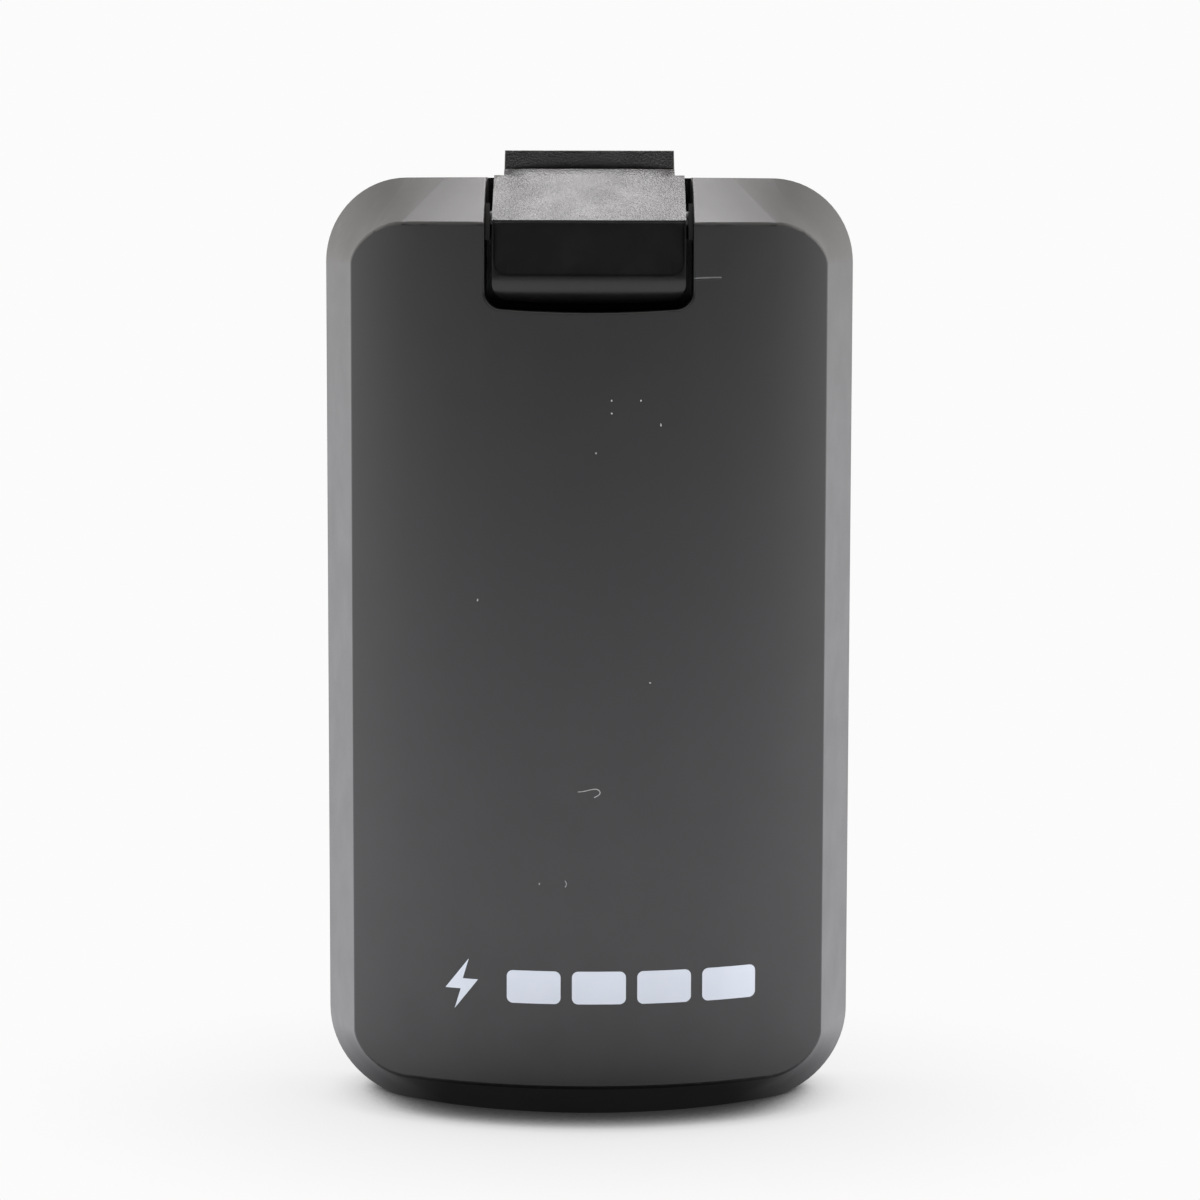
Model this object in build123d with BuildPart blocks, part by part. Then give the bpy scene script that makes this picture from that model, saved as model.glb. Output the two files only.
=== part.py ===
from build123d import *
import os

# Clip-on rechargeable battery pack for a compact camera flash.
# Frame: millimetres, +Z up, the bulged front faces -Y, the origin is the middle of the base.
# The pack stands on its flat lower end. "Depth" below is the distance behind the front apex.

# ---- driving dimensions -------------------------------------------------------------------
body_width = 52.5
body_height = 92.0
overall_depth = 26.4
parting_depth = 20.6          # where the front cover meets the inner housing
front_radius = 36.0           # plan radius of the bulged front
bevel_margin = 4.38           # bevel width measured along the front face
bevel_depth = 8.0             # bevel width measured along the side wall
corner_radius = 8.3
face_edge_radius = 0.45       # rounding where the front face meets the bevel
bevel_shrink_rate = 0.4       # how fast the bevel narrows on the inset inner forms
wall = 2.0
overcut = 1.0                 # how far cutters run past the surfaces they cut
touch_limit = 0.001

cell_radius = 9.05
sleeve_thickness = 0.15
cell_length = 65.0
cap_height = 0.8
cell_pitch = 18.9
cell_depth = 14.2             # cell axis behind the front apex
cell_floor = 6.0              # lowest point of both cells

notch_width = 19.8
notch_floor_z = 79.2
lever_width = 18.4
tongue_width = 16.5
pivot_depth = 6.2
pivot_z = 87.95
pin_radius = 0.8
running_clearance = 0.05
lug_low_front_depth = 4.2
lug_high_front_depth = 5.2
lug_back_depth = 8.1
lug_low_z = 86.0
lug_high_z = 89.5
lug_length = 0.4              # how far each lug stands out from the notch wall

housing_inset = 1.6
housing_wall = 1.8
post_radius = 2.5
post_x = 21.6
post_low_z = 9.6
post_high_z = 82.4

board_front_depth = 19.0
board_thickness = 1.0
board_left_x = -18.4
board_right_x = 10.6
board_low_z = 74.6
board_high_z = 88.2

contact_z = 81.4
contact_count = 4
contact_pitch = 4.2
socket_x = 14.9
socket_z = 79.4
socket_bore_radius = 2.75
indicator_x = -14.6

cell_clearance = 0.3
housing_edge_radius = 1.2
lip_gap = 0.15
lip_length = 1.4
fit_gap = 0.15
post_split_depth = 19.0
pilot_radius = 1.0
pilot_end_depth = 14.0
screw_radius = 0.95
screw_clearance_radius = 1.15
head_radius = 1.95
head_height = 1.4
head_recess = 1.7

well_wall = 1.4
well_low_depth = 8.2          # back of the well behind the lower arm of the latch
well_high_depth = 14.6        # back of the well behind the hook
well_step_z = 86.0
notch_bow = 0.42
notch_corner = 1.7
notch_edge_radius = 0.2
pin_length = 21.6
pin_chamfer = 0.2

ridge_z = 87.9
band_back_depth = 8.0
band_top_z = 92.2
ledge_z = 92.8                # the level ledge in front of the hook tongue
ledge_back_depth = 8.7
ledge_overlap = 0.1
tongue_front_depth = 10.2
tongue_back_depth = 11.2
tongue_top_z = 94.6
tongue_draft = 0.1
barb_depth = 12.1
barb_ramp = 0.5
barb_low_z = 93.4
barb_undercut = 0.3
heel_top_z = 90.9             # the lever behind and above the pivot
heel_back_depth = 10.2
heel_low_z = 88.1
boss_back_depth = 8.6         # the lever's boss round the pin
boss_low_z = 86.5
boss_front_depth = 6.9
boss_slope = 0.6
arm_flare = 0.3
arm_flare_z = 84.9
lever_back_depth = 3.0
lip_front_depth = 0.25
lip_top_z = 82.7
lever_low_z = 80.0
lever_corner = 1.6
lip_nose_radius = 2.5         # rounding of the lower lip, seen from the side
pad_sink_top = 0.5            # the push pad is deepest under the ridge
pad_sink_low = 0.16
pad_rim = 0.15
pad_corner = 1.1
ridge_edge_width = 0.15
tongue_edge_radius = 0.15

spring_x = 5.0
spring_z = 82.5
spring_radius = 1.45
spring_wire_radius = 0.2
spring_turns = 5
spring_seat_radius = 1.85
spring_seat_depth = 0.5
spring_guide_radius = 1.0
spring_guide_length = 1.6

foot_x = 13.0
foot_width = 9.0
foot_low_z = 0.4
foot_height = 2.0
foot_back_depth = 25.2
foot_thickness = 1.6

groove_from_end = 3.4
groove_width = 1.2
groove_sink = 0.6
sleeve_end_gap = 0.3
can_edge_radius = 0.6
cap_radius = 3.9
cap_chamfer = 0.25
ring_radius = 7.6
ring_thickness = 0.3
ring_gap = 0.2

tab_thickness = 0.15
strip_width = 6.6
strip_overlap = 1.2
strip_side_gap = 0.5
weld_tab_width = 3.0
holder_plate = 1.7
holder_grip = 5.0
holder_width = 39.1
holder_depth = 20.2
holder_corner = 9.9
holder_window_radius = 6.0
cell_seat_gap = 0.05
lead_slot_width = 4.4
lead_slot_depth = 6.4
lead_slot_center_depth = 20.2

block_width = 18.6
block_height = 6.6
block_back_depth = 25.7
block_floor = 1.5
block_corner = 0.5
blade_width = 0.8
blade_height = 4.4
slot_gap = 0.3
blade_back_depth = 25.0
blade_chamfer = 0.25

socket_body_radius = 3.8
socket_front_depth = 16.6
socket_back_depth = 26.0
socket_floor = 1.2
socket_pin_radius = 1.0
socket_pin_depth = 24.6
socket_pin_edge_radius = 0.35
socket_chamfer = 0.3
tail_width = 1.0
tail_length = 2.0
tail_thickness = 0.2
tail_pitch = 2.4
tail_offset = 0.1

light_pipe_radius = 1.2
light_pipe_flange_radius = 1.7
light_pipe_flange = 0.9
light_pipe_edge_radius = 0.25
led_width = 1.6
led_depth = 0.8
led_gap = 0.1

label_z = 40.0
label_width = 36.0
label_height = 34.0
label_corner = 1.5
label_recess = 0.3
label_thickness = 0.2

lead_radius = 0.5
lead_depth = 21.3
thermistor_radius = 1.3
thermistor_depth = 8.2
thermistor_z = 45.0
thermistor_bend_drop = 0.4
thermistor_bend_radius = 3.0
thermistor_lead_run = 5.0
lead_bend_drop = 2.0
lead_bend_radius = 2.0
lead_joint_rise = 1.2
lead_end_rise = 2.6
foam_width = 3.6
foam_depth = 6.0
foam_height = 40.0
foam_corner = 0.8
foam_low_z = 20.0
foam_center_depth = 15.7
foam_x = 20.7
screw_tip_gap = 0.6
drive_length = 2.2            # cross slot in the screw heads
drive_width = 0.5
drive_depth = 0.8

print_thickness = 0.05
print_z = 14.3
bolt_x = -12.2
bolt_reach = 2.5
bolt_lean = 0.7
bolt_half_width = 1.6
bolt_notch_x = 0.1
bolt_notch_z = 0.5
bar_count = 4
bar_width = 5.2
bar_height = 3.2
bar_pitch = 6.3
bar_first_x = -5.2
bar_corner = 0.6

board_corner = 1.0
board_hole_inset = 1.6
board_hole_radius = 0.6
chip_chamfer = 0.15
wide_chips_x = 6.0
wide_chips_z = 79.2
wide_chips_pitch = 2.0
wide_chips_rise = 2.9
wide_chip_width = 1.25
wide_chip_height = 2.0
fine_chips_x = 1.9
fine_chips_z = 80.6
fine_chips_pitch = 1.6
fine_chip_width = 0.8
fine_chip_height = 1.6
small_chip_depth = 0.8

# Each row: name, places (x, z) on the board, and size (width, height, depth).
board_parts = (
    ("power_transistors", ((-8.6, 83.4), (-2.2, 83.4)), (4.9, 6.0, 1.2)),
    ("control_chip", ((4.2, 84.2),), (4.0, 4.0, 0.9)),
    ("sense_resistor", ((-15.2, 83.8),), (3.2, 6.3, 0.8)),
    ("board_fuse", ((-1.0, 77.6),), (6.0, 2.6, 1.3)),
)


def y_at(depth):
    """Y of a plane at a depth behind the front apex."""
    return depth - overall_depth / 2


def plane_at(depth, z=0.0, x=0.0):
    """A plane that faces the front, -Y, with its local x along +X and local y along +Z."""
    return Plane(origin=(x, y_at(depth), z), x_dir=(1, 0, 0), z_dir=(0, -1, 0))


def side_plane(x=0.0):
    """A plane whose local x is +Y and local y is +Z, for side profiles at depth and height."""
    return Plane(origin=(x, y_at(0), 0), x_dir=(0, 1, 0), z_dir=(1, 0, 0))


def level_plane(z):
    """A level plane with its origin over the front apex, local y running back."""
    return Plane(origin=(0, y_at(0), z), x_dir=(1, 0, 0), z_dir=(0, 0, 1))


def pillow(inset, back_depth, edge_radius=0.0):
    """The bulged and bevelled body form, shrunk evenly by an inset, ending at a back plane."""
    bevel_shrink = bevel_shrink_rate * inset
    with BuildPart() as form:
        with BuildSketch(plane_at(back_depth, body_height / 2)):
            RectangleRounded(body_width - 2 * inset, body_height - 2 * inset, corner_radius - inset)
        extrude(amount=back_depth - inset)
        with BuildSketch(level_plane(-overcut)):
            with Locations((0, front_radius)):
                Circle(front_radius - inset)
        extrude(amount=body_height + 2 * overcut, mode=Mode.INTERSECT)
        front = form.faces().filter_by(GeomType.CYLINDER).sort_by(Axis.Y)[0]
        chamfer(front.edges(), bevel_margin - bevel_shrink, bevel_depth - 2 * bevel_shrink, reference=front)
        if edge_radius > 0:
            face = form.faces().filter_by(GeomType.CYLINDER).sort_by(Axis.Y)[0]
            fillet(face.edges(), edge_radius)
    return form.part


def save(builder, name):
    """Label a finished piece and write its STEP file."""
    builder.part.label = name
    export_step(builder.part, "parts/" + name + ".step")


os.makedirs("parts", exist_ok=True)

bow_axis = Axis((0, y_at(front_radius), 0), (0, 0, 1))
outer_form = pillow(0, parting_depth, face_edge_radius)
cavity_form = pillow(wall, parting_depth)
inner_limit = pillow(wall + cell_clearance, overall_depth - housing_wall - cell_clearance)
post_places = [(side * post_x, z) for side in (-1, 1) for z in (post_low_z, post_high_z)]

# ---- latch well: the walled pocket behind the latch, part of the cover ----------------------
with BuildPart() as well_block:
    with BuildSketch(side_plane()):
        with BuildLine():
            Polyline(
                (-overcut, notch_floor_z - well_wall),
                (well_low_depth + well_wall, notch_floor_z - well_wall),
                (well_low_depth + well_wall, well_step_z - well_wall),
                (well_high_depth + well_wall, well_step_z - well_wall),
                (well_high_depth + well_wall, body_height),
                (-overcut, body_height),
                close=True,
            )
        make_face()
    extrude(amount=notch_width / 2 + well_wall, both=True)
    add(outer_form, mode=Mode.INTERSECT)

with BuildPart() as well_pocket:
    with BuildSketch(side_plane()):
        with BuildLine():
            Polyline(
                (-overcut, notch_floor_z - overcut),
                (well_low_depth, notch_floor_z - overcut),
                (well_low_depth, well_step_z),
                (well_high_depth, well_step_z),
                (well_high_depth, body_height + overcut),
                (-overcut, body_height + overcut),
                close=True,
            )
        make_face()
    extrude(amount=notch_width / 2, both=True)
    with BuildSketch(plane_at(overall_depth)) as notch_front:
        with BuildLine():
            ThreePointArc(
                (-notch_width / 2, notch_floor_z + notch_bow),
                (0, notch_floor_z),
                (notch_width / 2, notch_floor_z + notch_bow),
            )
            Polyline(
                (notch_width / 2, notch_floor_z + notch_bow),
                (notch_width / 2, body_height + overcut),
                (-notch_width / 2, body_height + overcut),
                (-notch_width / 2, notch_floor_z + notch_bow),
            )
        make_face()
        fillet(notch_front.vertices().sort_by(Axis.Y)[:2], notch_corner)
    extrude(amount=overall_depth + overcut, mode=Mode.INTERSECT)

with BuildPart() as pivot_lugs:
    for side in (-1, 1):
        with BuildSketch(side_plane(side * (notch_width / 2 - lug_length))):
            with BuildLine():
                Polyline(
                    (lug_low_front_depth, lug_low_z),
                    (lug_high_front_depth, lug_high_z),
                    (lug_back_depth, lug_high_z),
                    (lug_back_depth, lug_low_z),
                    close=True,
                )
            make_face()
        extrude(amount=side * (lug_length + well_wall / 2))
    add(outer_form, mode=Mode.INTERSECT)

with BuildPart() as cover_posts:
    with BuildSketch(plane_at(post_split_depth)):
        with Locations(post_places):
            Circle(post_radius)
    extrude(amount=post_split_depth)
    add(outer_form, mode=Mode.INTERSECT)

# ---- front cover ---------------------------------------------------------------------------
with BuildPart() as cavity_cut:
    add(cavity_form)
    add(well_block.part, mode=Mode.SUBTRACT)

with BuildPart() as front_cover:
    add(outer_form)
    add(well_pocket.part, mode=Mode.SUBTRACT)
    front_rim = [
        edge
        for edge in front_cover.edges()
        if abs(edge.center().X) <= notch_width / 2 + touch_limit
        and edge.center().Z > notch_floor_z - touch_limit
        and edge.center().Y < y_at(lug_low_front_depth)
        and any(face.distance_to(edge.center()) < touch_limit for face in outer_form.faces())
    ]
    fillet(front_rim, notch_edge_radius)
    add(cavity_cut.part, mode=Mode.SUBTRACT)
    add(pivot_lugs.part)
    add(cover_posts.part)
    with BuildSketch(plane_at(post_split_depth)):
        with Locations(post_places):
            Circle(pilot_radius)
    extrude(amount=post_split_depth - pilot_end_depth, mode=Mode.SUBTRACT)
    with BuildSketch(side_plane()):
        with Locations((pivot_depth, pivot_z)):
            Circle(pin_radius)
    extrude(amount=pin_length / 2, both=True, mode=Mode.SUBTRACT)
    for side in (-1, 1):
        with BuildSketch(plane_at(well_low_depth)):
            with Locations((side * spring_x, spring_z)):
                Circle(spring_guide_radius)
        extrude(amount=spring_guide_length)
save(front_cover, "front_cover")

# ---- inner housing: the tub on the flash side -----------------------------------------------
with BuildPart() as inner_housing:
    with BuildSketch(plane_at(overall_depth, body_height / 2)):
        RectangleRounded(
            body_width - 2 * housing_inset,
            body_height - 2 * housing_inset,
            corner_radius - housing_inset,
        )
    extrude(amount=overall_depth - parting_depth)
    back_rim = inner_housing.faces().sort_by(Axis.Y)[-1].edges()
    fillet(back_rim, housing_edge_radius)
    with BuildSketch(plane_at(parting_depth, body_height / 2)):
        RectangleRounded(
            body_width - 2 * (wall + lip_gap),
            body_height - 2 * (wall + lip_gap),
            corner_radius - wall - lip_gap,
        )
    extrude(amount=lip_length)
    with BuildSketch(plane_at(overall_depth - housing_wall, body_height / 2)):
        RectangleRounded(
            body_width - 2 * (housing_inset + housing_wall),
            body_height - 2 * (housing_inset + housing_wall),
            corner_radius - housing_inset - housing_wall,
        )
    extrude(amount=overall_depth, mode=Mode.SUBTRACT)
    with BuildSketch(plane_at(overall_depth - housing_wall)):
        with Locations(post_places):
            Circle(post_radius)
    extrude(amount=overall_depth - housing_wall - post_split_depth)
    with BuildSketch(plane_at(overall_depth)):
        with Locations(post_places):
            Circle(screw_clearance_radius)
        with Locations((0, contact_z)):
            RectangleRounded(
                block_width + 2 * fit_gap,
                block_height + 2 * fit_gap,
                block_corner + fit_gap,
            )
        with Locations((socket_x, socket_z)):
            Circle(socket_body_radius + fit_gap)
        with Locations((indicator_x, contact_z)):
            Circle(light_pipe_radius + fit_gap)
    extrude(amount=overall_depth, mode=Mode.SUBTRACT)
    with BuildSketch(plane_at(overall_depth)):
        with Locations(post_places):
            Circle(head_radius + fit_gap)
    extrude(amount=head_recess, mode=Mode.SUBTRACT)
    with BuildSketch(plane_at(overall_depth)):
        with Locations((0, label_z)):
            RectangleRounded(label_width + 2 * fit_gap, label_height + 2 * fit_gap, label_corner)
    extrude(amount=label_recess, mode=Mode.SUBTRACT)
    with BuildSketch(plane_at(foot_back_depth)):
        with Locations((-foot_x, foot_low_z + foot_height / 2), (foot_x, foot_low_z + foot_height / 2)):
            Rectangle(foot_width, foot_height)
    extrude(amount=foot_thickness)
save(inner_housing, "inner_housing")

# ---- latch ---------------------------------------------------------------------------------
with BuildPart() as pad_recess:
    with BuildSketch(side_plane()):
        with BuildLine():
            Polyline(
                (-overcut, lip_top_z),
                (lip_front_depth + pad_sink_low, lip_top_z),
                (lip_front_depth + pad_sink_top, ridge_z - ridge_edge_width),
                (lip_front_depth, ridge_z),
                (-overcut, ridge_z),
                close=True,
            )
        make_face()
    revolve(axis=bow_axis)
    with BuildSketch(plane_at(overall_depth)) as pad_front:
        with Locations((0, (ridge_z + lip_top_z) / 2)):
            Rectangle(lever_width - 2 * pad_rim, ridge_z - lip_top_z)
        fillet(pad_front.vertices().sort_by(Axis.Y)[:2], pad_corner)
    extrude(amount=overall_depth + overcut, mode=Mode.INTERSECT)

with BuildPart() as lever_bow:
    with BuildSketch(side_plane()):
        with BuildLine():
            Polyline(
                (lip_front_depth, lever_low_z + lip_nose_radius),
                (lip_front_depth, ridge_z),
                (band_back_depth, band_top_z),
                (ledge_back_depth, ledge_z + ledge_overlap),
                (ledge_back_depth, tongue_top_z + overcut),
                (barb_depth + overcut, tongue_top_z + overcut),
                (barb_depth + overcut, lever_low_z),
                (lip_front_depth + lip_nose_radius, lever_low_z),
            )
            RadiusArc(
                (lip_front_depth + lip_nose_radius, lever_low_z),
                (lip_front_depth, lever_low_z + lip_nose_radius),
                lip_nose_radius,
            )
        make_face()
    revolve(axis=bow_axis)

with BuildPart() as latch_lever:
    with BuildSketch(side_plane()):
        with BuildLine():
            Polyline(
                (-overcut, lever_low_z - overcut),
                (-overcut, ledge_z),
                (tongue_front_depth, ledge_z),
                (tongue_front_depth, tongue_top_z),
                (tongue_back_depth, tongue_top_z),
                (barb_depth, tongue_top_z - barb_ramp),
                (barb_depth, barb_low_z),
                (tongue_back_depth, barb_low_z - barb_undercut),
                (tongue_back_depth, heel_top_z),
                (heel_back_depth, heel_low_z),
                (boss_back_depth, boss_low_z),
                (boss_front_depth, boss_low_z - boss_slope),
                (lever_back_depth + arm_flare, arm_flare_z),
                (lever_back_depth, arm_flare_z - arm_flare),
                (lever_back_depth, lever_low_z - overcut),
                close=True,
            )
        make_face()
    extrude(amount=lever_width / 2, both=True)
    with BuildSketch(plane_at(overall_depth)) as lever_front:
        with BuildLine():
            ThreePointArc(
                (-lever_width / 2, lever_low_z + notch_bow),
                (0, lever_low_z),
                (lever_width / 2, lever_low_z + notch_bow),
            )
            Polyline(
                (lever_width / 2, lever_low_z + notch_bow),
                (lever_width / 2, band_top_z),
                (tongue_width / 2, band_top_z),
                (tongue_width / 2 - tongue_draft, tongue_top_z + overcut),
                (-tongue_width / 2 + tongue_draft, tongue_top_z + overcut),
                (-tongue_width / 2, band_top_z),
                (-lever_width / 2, band_top_z),
                (-lever_width / 2, lever_low_z + notch_bow),
            )
        make_face()
        fillet(lever_front.vertices().sort_by(Axis.Y)[:2], lever_corner)
    extrude(amount=overall_depth + overcut, mode=Mode.INTERSECT)
    add(lever_bow.part, mode=Mode.INTERSECT)
    add(pad_recess.part, mode=Mode.SUBTRACT)
    tongue_edges = [
        edge
        for edge in latch_lever.edges()
        if edge.center().Z > ledge_z + touch_limit
        and abs(edge.center().Y - y_at(tongue_front_depth)) < touch_limit
    ]
    fillet(tongue_edges, tongue_edge_radius)
    with BuildSketch(side_plane()):
        with Locations((pivot_depth, pivot_z)):
            Circle(pin_radius + running_clearance)
    extrude(amount=lever_width, both=True, mode=Mode.SUBTRACT)
    with BuildSketch(plane_at(lever_back_depth)):
        with Locations((-spring_x, spring_z), (spring_x, spring_z)):
            Circle(spring_seat_radius)
    extrude(amount=spring_seat_depth, mode=Mode.SUBTRACT)
save(latch_lever, "latch_lever")

with BuildPart() as latch_pivot_pin:
    with BuildSketch(side_plane()):
        with Locations((pivot_depth, pivot_z)):
            Circle(pin_radius)
    extrude(amount=pin_length / 2, both=True)
    chamfer(latch_pivot_pin.edges().filter_by(GeomType.CIRCLE), pin_chamfer)
save(latch_pivot_pin, "latch_pivot_pin")

spring_front_depth = lever_back_depth - spring_seat_depth + spring_wire_radius
spring_back_depth = well_low_depth - spring_wire_radius
spring_length = spring_back_depth - spring_front_depth
for label, side in (("left", -1), ("right", 1)):
    spring_foot = (side * spring_x, y_at(spring_back_depth), spring_z)
    with BuildPart() as latch_spring:
        with BuildLine() as coil:
            Helix(
                pitch=spring_length / spring_turns,
                height=spring_length,
                radius=spring_radius,
                center=spring_foot,
                direction=(0, -1, 0),
            )
        with BuildSketch(Plane(origin=coil.line @ 0, z_dir=coil.line % 0)):
            Circle(spring_wire_radius)
        sweep(path=coil.line)
    save(latch_spring, "latch_spring_" + label)

# ---- cells -----------------------------------------------------------------------------------
cell_top = cell_floor + cell_length
for label, side, cap_up in (("left", -1, True), ("right", 1, False)):
    axis_x = side * cell_pitch / 2
    can_low = cell_floor if cap_up else cell_floor + cap_height
    can_high = cell_top - cap_height if cap_up else cell_top
    cap_plane_z = can_high if cap_up else cell_floor
    groove_z = can_high - groove_from_end if cap_up else can_low + groove_from_end
    mouth_z = can_high if cap_up else can_low
    with BuildPart() as cell_can:
        with BuildSketch(level_plane(can_low)):
            with Locations((axis_x, cell_depth)):
                Circle(cell_radius)
        extrude(amount=can_high - can_low)
        fillet(cell_can.edges().filter_by(GeomType.CIRCLE), can_edge_radius)
        with BuildSketch(level_plane(groove_z - groove_width / 2)):
            with Locations((axis_x, cell_depth)):
                Circle(cell_radius + overcut)
                Circle(cell_radius - groove_sink, mode=Mode.SUBTRACT)
        extrude(amount=groove_width, mode=Mode.SUBTRACT)
    save(cell_can, "cell_can_" + label)
    with BuildPart() as cell_sleeve:
        with BuildSketch(level_plane(can_low + sleeve_end_gap)):
            with Locations((axis_x, cell_depth)):
                Circle(cell_radius + sleeve_thickness)
                Circle(cell_radius, mode=Mode.SUBTRACT)
        extrude(amount=can_high - can_low - 2 * sleeve_end_gap)
    save(cell_sleeve, "cell_sleeve_" + label)
    with BuildPart() as cell_cap:
        with BuildSketch(level_plane(cap_plane_z)):
            with Locations((axis_x, cell_depth)):
                Circle(cap_radius)
        extrude(amount=cap_height)
        outer_rim = cell_cap.edges().filter_by(GeomType.CIRCLE).sort_by(Axis.Z)[-1 if cap_up else 0]
        chamfer(outer_rim, cap_chamfer)
    save(cell_cap, "cell_cap_" + label)
    with BuildPart() as insulator_ring:
        with BuildSketch(level_plane(mouth_z)):
            with Locations((axis_x, cell_depth)):
                Circle(ring_radius)
                Circle(cap_radius + ring_gap, mode=Mode.SUBTRACT)
        extrude(amount=ring_thickness if cap_up else -ring_thickness)
    save(insulator_ring, "insulator_ring_" + label)

# ---- cell holders ------------------------------------------------------------------------------
cell_places = [(-cell_pitch / 2, cell_depth), (cell_pitch / 2, cell_depth)]
for name, mouth_z, end_z, inward in (
    ("upper_cell_holder", cell_top + tab_thickness, cell_top + tab_thickness + holder_plate, -1),
    ("lower_cell_holder", cell_floor - tab_thickness, cell_floor - tab_thickness - holder_plate, 1),
):
    with BuildPart() as cell_holder:
        with BuildSketch(level_plane(end_z)):
            with Locations((0, cell_depth)):
                RectangleRounded(holder_width, holder_depth, holder_corner)
        extrude(amount=inward * (holder_plate + holder_grip))
        add(inner_limit, mode=Mode.INTERSECT)
        with BuildSketch(level_plane(mouth_z)):
            with Locations(cell_places):
                Circle(cell_radius + sleeve_thickness + cell_seat_gap)
        extrude(amount=inward * (holder_grip + overcut), mode=Mode.SUBTRACT)
        with BuildSketch(level_plane(end_z - inward * overcut)):
            with Locations(cell_places):
                Circle(holder_window_radius)
            with Locations((0, cell_depth)):
                Rectangle(cell_pitch, strip_width + 2 * strip_side_gap)
        extrude(amount=inward * (holder_plate + 1.5 * overcut), mode=Mode.SUBTRACT)
        with BuildSketch(level_plane(end_z - inward * overcut)):
            with Locations((0, lead_slot_center_depth)):
                Rectangle(lead_slot_width, lead_slot_depth)
            with Locations((0, thermistor_depth)):
                Circle(lead_radius + cell_clearance)
        extrude(amount=inward * (holder_plate + holder_grip + 2 * overcut), mode=Mode.SUBTRACT)
        with BuildSketch(plane_at(overall_depth)):
            with Locations(post_places):
                Circle(post_radius + cell_clearance)
        extrude(amount=overall_depth, mode=Mode.SUBTRACT)
    save(cell_holder, name)

# ---- welded strips -------------------------------------------------------------------------------
with BuildPart() as series_strip:
    with BuildSketch(level_plane(cell_floor - tab_thickness)):
        with Locations((0, cell_depth)):
            Rectangle(cell_pitch + strip_width, strip_width)
        with Locations((0, (cell_depth + lead_depth) / 2)):
            Rectangle(weld_tab_width, lead_depth - cell_depth + 2 * lead_radius)
    extrude(amount=tab_thickness)
save(series_strip, "series_strip")

for name, side in (("positive_strip", -1), ("negative_strip", 1)):
    with BuildPart() as end_strip:
        with BuildSketch(side_plane(side * cell_pitch / 2)):
            with BuildLine():
                Polyline(
                    (cell_depth - cap_radius, cell_top),
                    (board_front_depth, cell_top),
                    (board_front_depth, board_low_z + strip_overlap),
                    (board_front_depth - tab_thickness, board_low_z + strip_overlap),
                    (board_front_depth - tab_thickness, cell_top + tab_thickness),
                    (cell_depth - cap_radius, cell_top + tab_thickness),
                    close=True,
                )
            make_face()
        extrude(amount=strip_width / 2, both=True)
    save(end_strip, name)

# ---- protection board and its parts ----------------------------------------------------------------
board_back_depth = board_front_depth + board_thickness
with BuildPart() as protection_board:
    with BuildSketch(plane_at(board_back_depth)):
        with Locations(((board_left_x + board_right_x) / 2, (board_low_z + board_high_z) / 2)):
            RectangleRounded(board_right_x - board_left_x, board_high_z - board_low_z, board_corner)
        hole_x = board_left_x + board_hole_inset
        with Locations((hole_x, board_high_z - board_hole_inset), (hole_x, board_low_z + board_hole_inset)):
            Circle(board_hole_radius, mode=Mode.SUBTRACT)
    extrude(amount=board_thickness)
save(protection_board, "protection_board")

for name, places, (part_width, part_height, part_depth) in board_parts:
    with BuildPart() as board_part:
        with BuildSketch(plane_at(board_front_depth)):
            with Locations(places):
                Rectangle(part_width, part_height)
        extrude(amount=part_depth)
        chamfer(board_part.faces().sort_by(Axis.Y)[0].edges(), chip_chamfer)
    save(board_part, name)

with BuildPart() as small_chips:
    with BuildSketch(plane_at(board_front_depth)):
        with Locations((wide_chips_x, wide_chips_z)):
            with GridLocations(wide_chips_pitch, wide_chips_rise, 3, 2):
                Rectangle(wide_chip_width, wide_chip_height)
        with Locations((fine_chips_x, fine_chips_z)):
            with GridLocations(fine_chips_pitch, wide_chips_rise, 2, 1):
                Rectangle(fine_chip_width, fine_chip_height)
    extrude(amount=small_chip_depth)
save(small_chips, "small_chips")

with BuildPart() as status_led:
    with BuildSketch(plane_at(board_back_depth + led_depth)):
        with Locations((indicator_x, contact_z)):
            Rectangle(led_width, led_width)
    extrude(amount=led_depth)
save(status_led, "status_led")

with BuildPart() as light_pipe:
    with BuildSketch(plane_at(overall_depth)):
        with Locations((indicator_x, contact_z)):
            Circle(light_pipe_radius)
    extrude(amount=overall_depth - board_back_depth - led_depth - led_gap)
    with BuildSketch(plane_at(overall_depth - housing_wall)):
        with Locations((indicator_x, contact_z)):
            Circle(light_pipe_flange_radius)
    extrude(amount=light_pipe_flange)
    fillet(light_pipe.faces().sort_by(Axis.Y)[-1].edges(), light_pipe_edge_radius)
save(light_pipe, "light_pipe")

# ---- contacts to the flash -------------------------------------------------------------------------
first_contact_x = -(contact_count - 1) / 2 * contact_pitch
contact_places = [(first_contact_x + i * contact_pitch, contact_z) for i in range(contact_count)]
with BuildPart() as contact_block:
    with BuildSketch(plane_at(block_back_depth)):
        with Locations((0, contact_z)):
            RectangleRounded(block_width, block_height, block_corner)
    extrude(amount=block_back_depth - board_back_depth)
    with BuildSketch(plane_at(block_back_depth)):
        with Locations(contact_places):
            Rectangle(blade_width + 2 * slot_gap, blade_height + 2 * slot_gap)
    extrude(amount=block_back_depth - board_back_depth - block_floor, mode=Mode.SUBTRACT)
    with BuildSketch(plane_at(block_back_depth)):
        with Locations(contact_places):
            Rectangle(blade_width, blade_height)
    extrude(amount=block_back_depth - board_back_depth, mode=Mode.SUBTRACT)
save(contact_block, "contact_block")

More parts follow.
